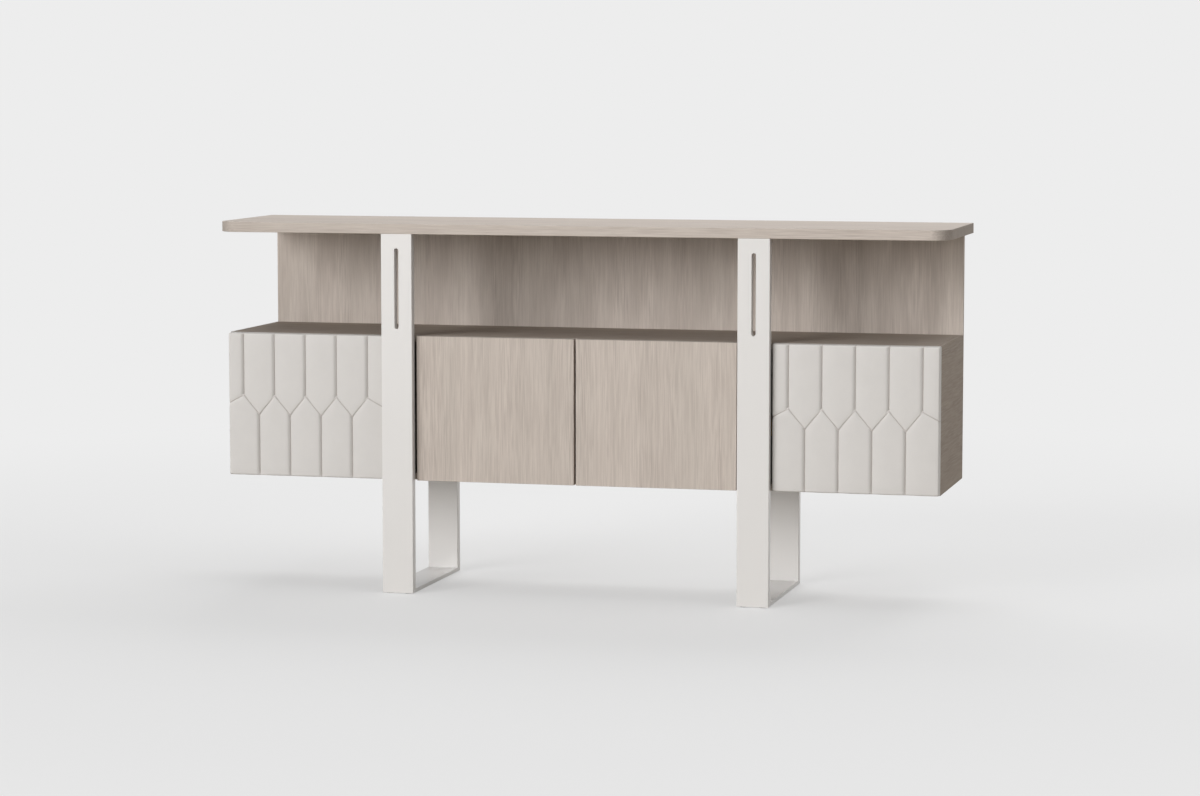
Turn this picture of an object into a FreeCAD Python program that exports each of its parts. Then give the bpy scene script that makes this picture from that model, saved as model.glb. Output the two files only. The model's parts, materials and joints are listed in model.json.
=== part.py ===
import FreeCAD, Part
import math
import os

os.makedirs("parts", exist_ok=True)
V = FreeCAD.Vector

# Low filing cabinet on two slotted leg frames. Millimetres, X along the width, the fronts face -Y, +Z up,
# with the origin on the floor at the centre of the whole object.

# Overall sizes
carcass_width = 2000.0
overall_depth = 450.0
floor_clearance = 314.0
carcass_height = 400.0
niche_height = 281.0

# Top board
top_thickness = 28.0
top_side_overhang = 24.0
top_corner_radius = 60.0
top_edge_radius = 1.5

# Carcass boards
panel_thickness = 18.0
divider_thickness = 36.0
lower_back_thickness = 8.0
niche_back_thickness = 18.0
panel_edge_radius = 0.8
dowel_radius = 4.0
dowel_bite = 10.0
dowels_per_joint = 3
niche_fixings = 6
fixing_margin = 80.0
niche_screw_bite = 30.0

# Leg frames
leg_spacing = 1000.0
upright_width = 88.0
upright_depth = 25.0
upright_wall = 3.0
upright_edge_radius = 1.5
floor_bar_thickness = 10.0
glide_thickness = 2.0
glide_radius = 12.0
glide_inset = 18.0
slot_width = 12.0
slot_height = 222.0
slot_top_margin = 39.0
liner_wall = 1.5
liner_clearance = 0.1

# Plates let into the boards at the uprights' upper ends
anchor_width = 80.0
anchor_length = 90.0
anchor_thickness = 5.0
anchor_edge_margin = 3.0
anchor_clearance = 0.2
anchor_screw_bite = 9.0

# Brackets that carry the dividers on the front uprights
bracket_height = 70.0
bracket_margin = 10.0
bracket_plate = 6.0
bracket_flange_width = 72.0
bracket_reach = 80.0
bracket_screw_bite = 22.0

# Fronts
front_setback = 22.0
front_thickness = 20.0
front_gap = 4.0
front_side_gap = 6.0
door_middle_gap = 6.0
door_edge_radius = 1.0
bumper_radius = 5.0
bumper_gap = 0.3
bumper_inset = 97.0

# Knife hinges in the thickness of the doors and the carcass panels
hinge_edge_distance = 7.5
hinge_pin_radius = 2.5
hinge_pin_half_length = 8.0
hinge_running_clearance = 0.05
leaf_half_width = 5.0
leaf_thickness = 3.0
leaf_depth = 45.0
leaf_clearance = 0.1
kerf_clearance = 0.3
leaf_screw_front = 15.0
leaf_screw_pitch = 18.0
leaf_screw_tip = 4.0

# Push latches under the carcass top
latch_width = 26.0
latch_height = 16.0
latch_length = 60.0
latch_setback = 6.0
latch_bore_depth = 40.0
latch_travel = 3.0
latch_end_gap = 1.0
latch_tip_gap = 0.3
latch_screw_bite = 9.0
plunger_radius = 4.0
plunger_edge_radius = 1.0
plunger_running_clearance = 0.05
door_latch_offset = 40.0

# Leather fronts: a board wrapped in padded leather, sewn in two rows of long six-sided panels
front_board_thickness = 12.0
leather_wrap = 3.0
leather_proud = 1.5
leather_edge_radius = 5.0
quilt_columns = 5
quilt_peak_drop = 175.0
quilt_valley_drop = 228.0
quilt_side_drop = 199.0
seam_half_width = 8.0
seam_slope_depth = 1.0
seam_half_groove = 2.5
seam_depth = 3.5

# File drawers
drawer_side_thickness = 12.0
drawer_back_thickness = 12.0
drawer_bottom_thickness = 10.0
drawer_bottom_rise = 6.0
drawer_floor_gap = 18.0
drawer_headroom = 76.0
drawer_back_setback = 5.0
file_rail_inset = 25.8
file_rail_thickness = 3.0
file_rail_height = 14.0
file_rail_drop = 2.0

# Telescopic slides
slide_thickness = 12.7
slide_height = 46.0
slide_wall = 1.2
slide_running_gap = 0.3
slide_lip = 9.0
slide_front_margin = 4.0
slide_back_margin = 42.0
slide_leg_clearance = 4.0
slide_screws = 3
slide_screw_margin = 40.0
slide_screw_bite = 13.0

# Fasteners
screw_radius = 2.0
screw_head_radius = 4.0
screw_head_height = 2.5
bolt_radius = 4.0
bolt_head_radius = 7.0
bolt_head_height = 4.0
bolt_tip = 6.0
fastener_clearance = 0.1

# Planes worked out from the sizes
front_y = -overall_depth / 2
back_y = overall_depth / 2
face_y = front_y + front_setback
rear_face_y = face_y + front_thickness
carcass_y = rear_face_y + front_gap
inner_back_y = back_y - lower_back_thickness
niche_mid_y = back_y - niche_back_thickness / 2
bottom_z = floor_clearance
inner_bottom_z = bottom_z + panel_thickness
top_z = bottom_z + carcass_height
inner_top_z = top_z - panel_thickness
under_top_z = top_z + niche_height
bar_top_z = glide_thickness + floor_bar_thickness
upper_panel_mid_z = top_z - panel_thickness / 2
lower_panel_mid_z = bottom_z + panel_thickness / 2

# Stations along the width, on the right half
half_width = carcass_width / 2
inner_x = half_width - panel_thickness
leg_x = leg_spacing / 2
leg_inner_x = leg_x - upright_width / 2
leg_outer_x = leg_x + upright_width / 2
divider_inner_x = leg_x - divider_thickness / 2
divider_outer_x = leg_x + divider_thickness / 2
door_outer_x = leg_inner_x - front_side_gap
door_inner_x = door_middle_gap / 2
drawer_front_inner_x = leg_outer_x + front_side_gap
drawer_mid_x = (drawer_front_inner_x + half_width) / 2
slide_plane_x = leg_outer_x + slide_leg_clearance
box_inner_x = slide_plane_x + slide_thickness
box_outer_x = inner_x - slide_thickness
hinge_x = door_outer_x - hinge_edge_distance
hinge_y = (face_y + rear_face_y) / 2

# Places of the drawers and slides
slide_start_y = carcass_y + slide_front_margin
slide_end_y = inner_back_y - slide_back_margin
box_back_y = slide_end_y - drawer_back_setback
box_low_z = inner_bottom_z + drawer_floor_gap
box_high_z = inner_top_z - drawer_headroom
slide_z = (box_low_z + box_high_z) / 2

SIDES = (("left", -1), ("right", 1))


def export(node, *solids):
    """Write one sub-part; a group of separate solids goes into one file."""
    shape = solids[0] if len(solids) == 1 else Part.makeCompound(list(solids))
    shape.exportStep("parts/" + node + ".step")


def box(x0, x1, y0, y1, z0, z1):
    """A block between two opposite corners, given in any order."""
    low = V(min(x0, x1), min(y0, y1), min(z0, z1))
    return Part.makeBox(abs(x1 - x0), abs(y1 - y0), abs(z1 - z0), low)


def rounded(solid, radius, along):
    """The block with those edges rounded that run along one axis, "X", "Y" or "Z"."""
    edges = [edge for edge in solid.Edges if getattr(edge.BoundBox, along + "Length") > radius]
    return solid.makeFillet(radius, edges)


def spread(low, high, count):
    """Evenly spaced places from low to high."""
    return [low + (high - low) * index / (count - 1) for index in range(count)]


def screw(place, direction, length, grow=0.0):
    """A flush-headed screw: its head lies in the surface at place, its shank runs along direction."""
    head = Part.makeCylinder(screw_head_radius + grow, screw_head_height, place, direction)
    shank = Part.makeCylinder(screw_radius + grow, length + grow, place, direction)
    return head.fuse(shank).removeSplitter()


def bolt(seat, direction, length, grow=0.0):
    """A button-headed bolt: its head stands on the seat, its shank runs along direction."""
    back = V(direction).multiply(-bolt_head_height)
    head = Part.makeCylinder(bolt_head_radius + grow, bolt_head_height, seat + back, direction)
    shank = Part.makeCylinder(bolt_radius + grow, length + grow, seat, direction)
    return head.fuse(shank).removeSplitter()


def dowel(middle, direction, grow=0.0):
    """A dowel half in each of two boards that meet at middle."""
    start = middle + V(direction).multiply(-dowel_bite - grow)
    return Part.makeCylinder(dowel_radius + grow, 2 * (dowel_bite + grow), start, direction)


def placed(maker, places, grow=0.0):
    """One fastener at each place, at its own size or grown into the hole that it needs."""
    return [maker(*place, grow) for place in places]


# Places of the fasteners

def side_dowel_places():
    """Dowels between the side panels and the carcass top and bottom."""
    margin = fixing_margin / 2
    depths = spread(carcass_y + margin, inner_back_y - margin, dowels_per_joint)
    heights = (lower_panel_mid_z, upper_panel_mid_z)
    return [(V(side * inner_x, y, z), V(1, 0, 0)) for _, side in SIDES for z in heights for y in depths]


def divider_dowel_places():
    """Dowels between the dividers and the carcass top and bottom."""
    margin = fixing_margin / 2
    depths = spread(carcass_y + margin, inner_back_y - margin, dowels_per_joint)
    heights = (inner_bottom_z, inner_top_z)
    return [(V(side * leg_x, y, z), V(0, 0, 1)) for _, side in SIDES for z in heights for y in depths]


def niche_stations():
    """Stations along the width at which the niche back panel is fixed."""
    return spread(-half_width + fixing_margin, half_width - fixing_margin, niche_fixings)


def niche_dowel_places():
    """Dowels between the niche back panel and the top board."""
    return [(V(x, niche_mid_y, under_top_z), V(0, 0, 1)) for x in niche_stations()]


def niche_screw_places():
    """Screws from the carcass top up into the niche back panel."""
    length = panel_thickness + niche_screw_bite
    return [(V(x, niche_mid_y, inner_top_z), V(0, 0, 1), length) for x in niche_stations()]


def anchor_span(rear):
    """Where an anchor plate starts and ends along the depth: over a front or a rear upright."""
    if rear:
        return back_y - anchor_edge_margin - anchor_length, back_y - anchor_edge_margin
    return front_y + anchor_edge_margin, front_y + anchor_edge_margin + anchor_length


def anchor_screw_places(rear):
    """Four screws through each anchor plate, beside the upright, into the board above."""
    low, high = anchor_span(rear)
    free_low = low if rear else front_y + upright_depth
    free_high = back_y - upright_depth if rear else high
    margin = 2.5 * screw_head_radius
    stations = [leg_x - anchor_width / 2 + margin, leg_x + anchor_width / 2 - margin]
    depths = [free_low + margin, free_high - margin]
    z = bottom_z if rear else under_top_z
    length = anchor_thickness + anchor_screw_bite
    return [(V(side * x, y, z), V(0, 0, 1), length) for _, side in SIDES for x in stations for y in depths]


def bracket_spans():
    """Lower and upper end of the lower and the upper bracket."""
    low = inner_bottom_z + bracket_margin
    high = inner_top_z - bracket_margin
    return (low, low + bracket_height), (high - bracket_height, high)


def bracket_bolt_places(side):
    """Two bolts through each bracket's flange into the front upright."""
    x = (leg_x - bracket_flange_width / 2 + divider_outer_x) / 2
    y = front_y + upright_depth + bracket_plate
    length = bracket_plate + upright_wall + bolt_tip
    heights = [span[0] + share * bracket_height for span in bracket_spans() for share in (0.25, 0.75)]
    return [(V(side * x, y, z), V(0, -1, 0), length) for z in heights]


def bracket_screw_places(side):
    """Four screws through each bracket's web into the divider."""
    x = divider_outer_x + bracket_plate
    length = bracket_plate + bracket_screw_bite
    depths = [carcass_y + share * bracket_reach for share in (0.3, 0.8)]
    heights = [span[0] + share * bracket_height for span in bracket_spans() for share in (0.25, 0.75)]
    return [(V(side * x, y, z), V(-side, 0, 0), length) for z in heights for y in depths]


def leaf_screw_places(side):
    """Two screws through each hinge leaf, from inside the carcass."""
    length = panel_thickness / 2 + leaf_thickness / 2 + leaf_screw_tip
    depths = [carcass_y + leaf_screw_front, carcass_y + leaf_screw_front + leaf_screw_pitch]
    upper = [(V(side * hinge_x, y, inner_top_z), V(0, 0, 1), length) for y in depths]
    lower = [(V(side * hinge_x, y, inner_bottom_z), V(0, 0, -1), length) for y in depths]
    return upper + lower


def latch_stations():
    """Stations along the width of the four push latches, named by the front that they hold."""
    stations = {}
    for name, side in SIDES:
        stations[name + "_door"] = side * (door_inner_x + door_latch_offset)
        stations[name + "_drawer"] = side * drawer_mid_x
    return stations


def latch_screw_places():
    """Two screws beside the plunger of each push latch, up into the carcass top."""
    y = carcass_y + latch_setback + latch_length / 2
    z = inner_top_z - latch_height
    offset = (latch_width / 2 + plunger_radius) / 2
    length = latch_height + latch_screw_bite
    places = []
    for x in latch_stations().values():
        places += [(V(x + step, y, z), V(0, 0, 1), length) for step in (-offset, offset)]
    return places


def slide_planes(side):
    """The two faces that carry a drawer's slides, each with the way from the face to the drawer."""
    return (side * slide_plane_x, side), (side * inner_x, -side)


def slide_screw_places(side):
    """Screws that hold the outer slide members, flush in their webs."""
    depths = spread(slide_start_y + slide_screw_margin, slide_end_y - slide_screw_margin, slide_screws)
    places = []
    for plane, way in slide_planes(side):
        seat = plane + way * slide_wall
        length = slide_wall + slide_screw_bite
        places += [(V(seat, y, slide_z), V(-way, 0, 0), length) for y in depths]
    return places


# Boards

def top_board():
    """The top: a board with two round front corners and eased edges."""
    half = half_width + top_side_overhang
    radius = top_corner_radius
    reach = radius * (1 - math.sqrt(0.5))
    right_start = V(half, front_y + radius, under_top_z)
    right_mid = V(half - reach, front_y + reach, under_top_z)
    right_end = V(half - radius, front_y, under_top_z)
    left_start = V(-half + radius, front_y, under_top_z)
    left_mid = V(-half + reach, front_y + reach, under_top_z)
    left_end = V(-half, front_y + radius, under_top_z)
    back_left = V(-half, back_y, under_top_z)
    back_right = V(half, back_y, under_top_z)
    outline = Part.Wire([
        Part.LineSegment(back_left, back_right).toShape(),
        Part.LineSegment(back_right, right_start).toShape(),
        Part.Arc(right_start, right_mid, right_end).toShape(),
        Part.LineSegment(right_end, left_start).toShape(),
        Part.Arc(left_start, left_mid, left_end).toShape(),
        Part.LineSegment(left_end, back_left).toShape(),
    ])
    board = Part.Face(outline).extrude(V(0, 0, top_thickness))
    rim = [edge for edge in board.Edges if edge.BoundBox.ZLength < top_edge_radius]
    board = board.makeFillet(top_edge_radius, rim)
    cuts = [anchor_plate(side, False, anchor_clearance) for _, side in SIDES]
    cuts += placed(screw, anchor_screw_places(False), fastener_clearance)
    cuts += placed(dowel, niche_dowel_places(), fastener_clearance)
    return board.cut(cuts)


def niche_back_panel():
    """The upright panel between the carcass and the top board."""
    panel = box(-half_width, half_width, back_y - niche_back_thickness, back_y, top_z, under_top_z)
    cuts = placed(screw, niche_screw_places(), fastener_clearance)
    cuts += placed(dowel, niche_dowel_places(), fastener_clearance)
    return panel.cut(cuts)


def leaf_pockets(leaf_z):
    """Mortises for the hinge leaves in the front edge of a carcass panel."""
    half_height = leaf_thickness / 2 + leaf_clearance
    reach = leaf_half_width + leaf_clearance
    end = carcass_y + leaf_depth + leaf_clearance
    return [box(side * hinge_x - reach, side * hinge_x + reach, carcass_y, end, leaf_z - half_height,
                leaf_z + half_height) for _, side in SIDES]


def level_panel(low_z):
    """A full-width carcass board between the side panels, with its fixing holes."""
    mid_z = low_z + panel_thickness / 2
    panel = box(-inner_x, inner_x, carcass_y, back_y, low_z, low_z + panel_thickness)
    cuts = leaf_pockets(mid_z)
    cuts += placed(dowel, side_dowel_places() + divider_dowel_places(), fastener_clearance)
    for _, side in SIDES:
        cuts += placed(screw, leaf_screw_places(side), fastener_clearance)
    return panel.cut(cuts)


def carcass_top_panel():
    """The carcass top, which is also the floor of the niche."""
    places = niche_screw_places() + latch_screw_places()
    return level_panel(inner_top_z).cut(placed(screw, places, fastener_clearance))


def carcass_bottom_panel():
    """The carcass bottom, with the rear anchor plates let into its underside."""
    cuts = [anchor_plate(side, True, anchor_clearance) for _, side in SIDES]
    cuts += placed(screw, anchor_screw_places(True), fastener_clearance)
    return level_panel(bottom_z).cut(cuts)


def side_panel(side):
    """A side of the carcass, over its full height."""
    panel = box(side * inner_x, side * half_width, carcass_y, back_y, bottom_z, top_z)
    panel = rounded(panel, panel_edge_radius, "Z")
    cuts = placed(dowel, side_dowel_places(), fastener_clearance)
    cuts += placed(screw, slide_screw_places(side), fastener_clearance)
    return panel.cut(cuts)


def divider(side):
    """The thick upright board behind a leg frame, which carries the carcass."""
    board = box(side * divider_inner_x, side * divider_outer_x, carcass_y, inner_back_y,
                inner_bottom_z, inner_top_z)
    cuts = placed(dowel, divider_dowel_places(), fastener_clearance)
    cuts += placed(screw, bracket_screw_places(side), fastener_clearance)
    return board.cut(cuts)


def lower_back_panel():
    """The thin back of the compartments, inside the carcass frame."""
    return box(-inner_x, inner_x, inner_back_y, back_y, inner_bottom_z, inner_top_z)


# Leg frames

def round_bar(x, width, height, y0, y1, low_z):
    """A bar along Y with the outline of the slot: straight sides and half-round ends."""
    radius = width / 2
    low = low_z + radius
    high = low_z + height - radius
    outline = Part.Wire([
        Part.Arc(V(x - radius, y0, low), V(x, y0, low - radius), V(x + radius, y0, low)).toShape(),
        Part.LineSegment(V(x + radius, y0, low), V(x + radius, y0, high)).toShape(),
        Part.Arc(V(x + radius, y0, high), V(x, y0, high + radius), V(x - radius, y0, high)).toShape(),
        Part.LineSegment(V(x - radius, y0, high), V(x - radius, y0, low)).toShape(),
    ])
    return Part.Face(outline).extrude(V(0, y1 - y0, 0))


def slot_bar(side, grow):
    """The space of an upright's slot, grown by an equal margin all round."""
    low = under_top_z - slot_top_margin - slot_height - grow
    return round_bar(side * leg_x, slot_width + 2 * grow, slot_height + 2 * grow,
                     front_y, front_y + upright_depth, low)


def tube(side, y0, y1, z0, z1):
    """A rectangular tube standing on a floor bar."""
    outside = rounded(box(side * leg_inner_x, side * leg_outer_x, y0, y1, z0, z1), upright_edge_radius, "Z")
    inside = box(side * (leg_inner_x + upright_wall), side * (leg_outer_x - upright_wall),
                 y0 + upright_wall, y1 - upright_wall, z0, z1)
    return outside.cut(inside)


def front_upright(side):
    """The tall slotted tube in front: a long foot, two strips beside the slot and a head, joined end to end."""
    upright = tube(side, front_y, front_y + upright_depth, bar_top_z, under_top_z)
    holes = placed(bolt, bracket_bolt_places(side), fastener_clearance)
    upright = upright.cut([slot_bar(side, liner_wall + liner_clearance)] + holes)
    straight_high = under_top_z - slot_top_margin - slot_width / 2
    straight_low = straight_high - slot_height + slot_width
    levels = (bar_top_z, straight_low, straight_high, under_top_z)
    pieces = []
    for low, high in zip(levels[:-1], levels[1:]):
        stretch = box(side * leg_inner_x, side * leg_outer_x, front_y, front_y + upright_depth, low, high)
        pieces += upright.common(stretch).Solids
    return pieces


def slot_liner(side):
    """The lining that closes the tube around its slot, flush with both faces."""
    return slot_bar(side, liner_wall).cut(slot_bar(side, 0.0))


def rear_upright(side):
    """The short tube behind, from the floor bar to the underside of the carcass."""
    return tube(side, back_y - upright_depth, back_y, bar_top_z, bottom_z)


def floor_bar(side):
    """The flat bar on the floor that joins the front and the rear upright."""
    bar = box(side * leg_inner_x, side * leg_outer_x, front_y, back_y, glide_thickness, bar_top_z)
    return rounded(bar, upright_edge_radius, "Z")


def anchor_plate(side, rear, grow=0.0):
    """A plate at an upright's upper end, let into the board above it."""
    low, high = anchor_span(rear)
    z = bottom_z if rear else under_top_z
    return box(side * leg_x - anchor_width / 2 - grow, side * leg_x + anchor_width / 2 + grow,
               low - grow, high + grow, z, z + anchor_thickness + grow)


def bored_anchor_plate(side, rear):
    """An anchor plate with its screw holes."""
    return anchor_plate(side, rear).cut(placed(screw, anchor_screw_places(rear), fastener_clearance))


def floor_glides():
    """Round pads near the corners of both floor bars."""
    reach = upright_width / 2 - glide_inset
    depth = back_y - glide_inset
    return [Part.makeCylinder(glide_radius, glide_thickness, V(side * leg_x + step, y, 0))
            for _, side in SIDES for step in (-reach, reach) for y in (-depth, depth)]


def carrier_brackets(side):
    """Two angles per leg frame: a flange on the upright and a web along the divider."""
    flange_y = front_y + upright_depth
    half = bracket_flange_width / 2
    brackets = []
    for low, high in bracket_spans():
        flange = box(side * (leg_x - half), side * (leg_x + half), flange_y, flange_y + bracket_plate,
                     low, high)
        web = box(side * divider_outer_x, side * (divider_outer_x + bracket_plate), flange_y,
                  carcass_y + bracket_reach, low, high)
        cuts = placed(bolt, bracket_bolt_places(side), fastener_clearance)
        cuts += placed(screw, bracket_screw_places(side), fastener_clearance)
        brackets.append(flange.fuse(web).removeSplitter().cut(cuts))
    return brackets


# Doors

def hinge_levels():
    """Heights of the lower and the upper hinge leaf: the middle of the carcass panels."""
    return lower_panel_mid_z, upper_panel_mid_z


def hinge_pins(side, grow=0.0):
    """The pivot pins in a door's lower and upper end."""
    length = 2 * (hinge_pin_half_length + grow)
    return [Part.makeCylinder(hinge_pin_radius + grow, length,
                              V(side * hinge_x, hinge_y, z - hinge_pin_half_length - grow))
            for z in hinge_levels()]


def door(side):
    """A full-overlay door, with a kerf at each end for the hinge leaf and a bore for its pin."""
    panel = box(side * door_inner_x, side * door_outer_x, face_y, rear_face_y, bottom_z, top_z)
    panel = panel.makeFillet(door_edge_radius, panel.Edges)
    cuts = hinge_pins(side, hinge_running_clearance)
    reach = leaf_half_width + kerf_clearance
    half_height = leaf_thickness / 2 + kerf_clearance
    for z in hinge_levels():
        cuts.append(box(side * (hinge_x - reach), side * (door_outer_x + door_edge_radius),
                        hinge_y - reach, rear_face_y + door_edge_radius, z - half_height, z + half_height))
    return panel.cut(cuts)


def hinge_leaves(side):
    """The leaves that reach from the carcass panels to the pivot pins."""
    leaves = []
    for z in hinge_levels():
        low = z - leaf_thickness / 2
        arm = box(side * hinge_x - leaf_half_width, side * hinge_x + leaf_half_width,
                  hinge_y, carcass_y + leaf_depth, low, low + leaf_thickness)
        eye = Part.makeCylinder(leaf_half_width, leaf_thickness, V(side * hinge_x, hinge_y, low))
        leaf = arm.fuse(eye).removeSplitter()
        cuts = hinge_pins(side, hinge_running_clearance)
        cuts += placed(screw, leaf_screw_places(side), fastener_clearance)
        leaves.append(leaf.cut(cuts))
    return leaves


def latch_axis(x):
    """The front end of a latch's bore, at the middle of its housing."""
    return V(x, carcass_y + latch_setback, inner_top_z - latch_height / 2)


def latch_housing(x):
    """A push latch's housing under the carcass top, bored for its plunger."""
    front = carcass_y + latch_setback
    housing = box(x - latch_width / 2, x + latch_width / 2, front, front + latch_length,
                  inner_top_z - latch_height, inner_top_z)
    bore = Part.makeCylinder(plunger_radius + plunger_running_clearance, latch_bore_depth, latch_axis(x),
                             V(0, 1, 0))
    return housing.cut([bore] + placed(screw, latch_screw_places(), fastener_clearance))


def latch_plunger(x):
    """The sprung plunger, from behind its front to short of the bore's end."""
    start = latch_axis(x)
    start.y = rear_face_y + latch_tip_gap
    end = latch_axis(x).y + latch_bore_depth - latch_travel - latch_end_gap
    plunger = Part.makeCylinder(plunger_radius, end - start.y, start, V(0, 1, 0))
    tip = [edge for edge in plunger.Edges if edge.BoundBox.YMax < start.y + plunger_edge_radius]
    return plunger.makeFillet(plunger_edge_radius, tip)


def front_bumpers():
    """Soft discs on the carcass edges behind the doors and the drawer fronts."""
    stations = (door_inner_x + bumper_inset, drawer_front_inner_x + bumper_inset, half_width - bumper_inset)
    length = front_gap - bumper_gap
    return [Part.makeCylinder(bumper_radius, length, V(side * x, rear_face_y + bumper_gap, z), V(0, 1, 0))
            for _, side in SIDES for x in stations for z in (lower_panel_mid_z, upper_panel_mid_z)]


# Drawers

def front_board(side):
    """The board inside a leather front."""
    return box(side * (drawer_front_inner_x + leather_wrap), side * (half_width - leather_wrap),
               rear_face_y - front_board_thickness, rear_face_y,
               bottom_z + leather_wrap, top_z - leather_wrap)


def quilt_seams(side):
    """The sewn lines of a leather front, as pairs of points: a zigzag with upright seams above and below."""
    pad_y = face_y - leather_proud
    pitch = (half_width - drawer_front_inner_x) / quilt_columns
    over = leather_edge_radius

    def point(across, drop):
        return V(side * (drawer_front_inner_x + across), pad_y, top_z - drop)

    width = pitch * quilt_columns
    peaks = [point((column + 0.5) * pitch, quilt_peak_drop) for column in range(quilt_columns)]
    valleys = [point(column * pitch, quilt_valley_drop) for column in range(1, quilt_columns)]
    line = [point(-over, quilt_side_drop)]
    for index, peak in enumerate(peaks):
        line.append(peak)
        line += valleys[index:index + 1]
    line.append(point(width + over, quilt_side_drop))
    seams = list(zip(line[:-1], line[1:]))
    seams += [(peak, V(peak.x, pad_y, top_z + over)) for peak in peaks]
    seams += [(valley, V(valley.x, pad_y, bottom_z - over)) for valley in valleys]
    return seams


def seam_groove(start, end):
    """A groove along one seam: gently sloped shoulders with a narrow cleft between them."""
    along = end.sub(start)
    length = along.Length
    across = V(-along.z, 0, along.x).normalize()
    depth = V(0, 1, 0)
    steps = ((-seam_half_width, -seam_depth), (-seam_half_width, 0), (-seam_half_groove, seam_slope_depth),
             (0, seam_depth), (seam_half_groove, seam_slope_depth), (seam_half_width, 0),
             (seam_half_width, -seam_depth))
    points = [start + V(across).multiply(a) + V(depth).multiply(d) for a, d in steps]
    profile = Part.Face(Part.makePolygon(points + points[:1]))
    return profile.extrude(V(along).normalize().multiply(length))


def leather_pad(side):
    """The padded leather over a drawer's front board, wrapped round its edges and sewn into panels."""
    pad_y = face_y - leather_proud
    pad = box(side * drawer_front_inner_x, side * half_width, pad_y, rear_face_y, bottom_z, top_z)
    rim = [edge for edge in pad.Edges if edge.BoundBox.YMax < pad_y + leather_proud / 2]
    pad = pad.makeFillet(leather_edge_radius, rim)
    return pad.cut([front_board(side)] + [seam_groove(*seam) for seam in quilt_seams(side)])


def drawer_sides(side):
    """The two side boards of a file drawer."""
    spans = ((box_inner_x, box_inner_x + drawer_side_thickness), (box_outer_x - drawer_side_thickness, box_outer_x))
    return [box(side * low, side * high, rear_face_y, box_back_y, box_low_z, box_high_z) for low, high in spans]


def drawer_back(side):
    """The back board of a file drawer, between its sides."""
    return box(side * (box_inner_x + drawer_side_thickness), side * (box_outer_x - drawer_side_thickness),
               box_back_y - drawer_back_thickness, box_back_y, box_low_z, box_high_z)


def drawer_bottom(side):
    """The bottom board of a file drawer."""
    low = box_low_z + drawer_bottom_rise
    return box(side * (box_inner_x + drawer_side_thickness), side * (box_outer_x - drawer_side_thickness),
               rear_face_y, box_back_y - drawer_back_thickness, low, low + drawer_bottom_thickness)


def file_rails(side):
    """Two rails from front to back on which hanging files ride."""
    high = box_high_z - file_rail_drop
    inset = drawer_side_thickness + file_rail_inset
    near = box_inner_x + inset
    far = box_outer_x - inset
    spans = ((near, near + file_rail_thickness), (far - file_rail_thickness, far))
    return [box(side * start, side * end, rear_face_y, box_back_y - drawer_back_thickness,
                high - file_rail_height, high) for start, end in spans]


def channel(plane, way, depth, height):
    """A C-section slide member: its web lies on a plane across X, its lips point along way."""
    outside = box(plane, plane + way * depth, slide_start_y, slide_end_y,
                  slide_z - height / 2, slide_z + height / 2)
    inside = box(plane + way * slide_wall, plane + way * depth, slide_start_y, slide_end_y,
                 slide_z - height / 2 + slide_wall, slide_z + height / 2 - slide_wall)
    return outside.cut(inside)


slide_step = slide_wall + slide_running_gap
slide_nested_depth = slide_thickness - 2 * slide_step


def outer_slides(side):
    """The slide members fixed to the packing and to the side panel."""
    holes = placed(screw, slide_screw_places(side), fastener_clearance)
    return [channel(plane, way, slide_lip, slide_height).cut(holes) for plane, way in slide_planes(side)]


def middle_slides(side):
    """The slide members between, which travel half as far as the drawer."""
    height = slide_height - 2 * slide_step
    return [channel(plane + way * slide_step, way, slide_nested_depth, height)
            for plane, way in slide_planes(side)]


def inner_slides(side):
    """The slide members fixed to the drawer's sides."""
    height = slide_height - 4 * slide_step
    return [channel(plane + way * slide_thickness, -way, slide_nested_depth, height)
            for plane, way in slide_planes(side)]


def slide_packing(side):
    """The strip beside a divider that brings the slide clear of the upright."""
    strip = box(side * divider_outer_x, side * slide_plane_x, slide_start_y, slide_end_y,
                slide_z - slide_height / 2, slide_z + slide_height / 2)
    return strip.cut(placed(screw, slide_screw_places(side), fastener_clearance))


def paired(places):
    """The places of both sides in one list."""
    return [place for _, side in SIDES for place in places(side)]


# Boards and what joins them
export("top_board", top_board())
export("niche_back_panel", niche_back_panel())
export("carcass_top_panel", carcass_top_panel())
export("carcass_bottom_panel", carcass_bottom_panel())
export("lower_back_panel", lower_back_panel())
export("carcass_dowels", *placed(dowel, side_dowel_places() + divider_dowel_places() + niche_dowel_places()))
export("niche_screws", *placed(screw, niche_screw_places()))

# Groups that belong to both leg frames, both doors or all fronts
export("top_anchor_plates", *[bored_anchor_plate(side, False) for _, side in SIDES])
export("rear_anchor_plates", *[bored_anchor_plate(side, True) for _, side in SIDES])
export("anchor_screws", *placed(screw, anchor_screw_places(False) + anchor_screw_places(True)))
export("floor_glides", *floor_glides())
export("bracket_bolts", *placed(bolt, paired(bracket_bolt_places)))
export("bracket_screws", *placed(screw, paired(bracket_screw_places)))
export("hinge_leaves", *paired(hinge_leaves))
export("hinge_screws", *placed(screw, paired(leaf_screw_places)))
export("latch_housings", *[latch_housing(x) for x in latch_stations().values()])
export("latch_screws", *placed(screw, latch_screw_places()))
export("slide_screws", *placed(screw, paired(slide_screw_places)))
export("slide_packings", *[slide_packing(side) for _, side in SIDES])
export("front_bumpers", *front_bumpers())
for front, x in latch_stations().items():
    export(front + "_plunger", latch_plunger(x))

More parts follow.
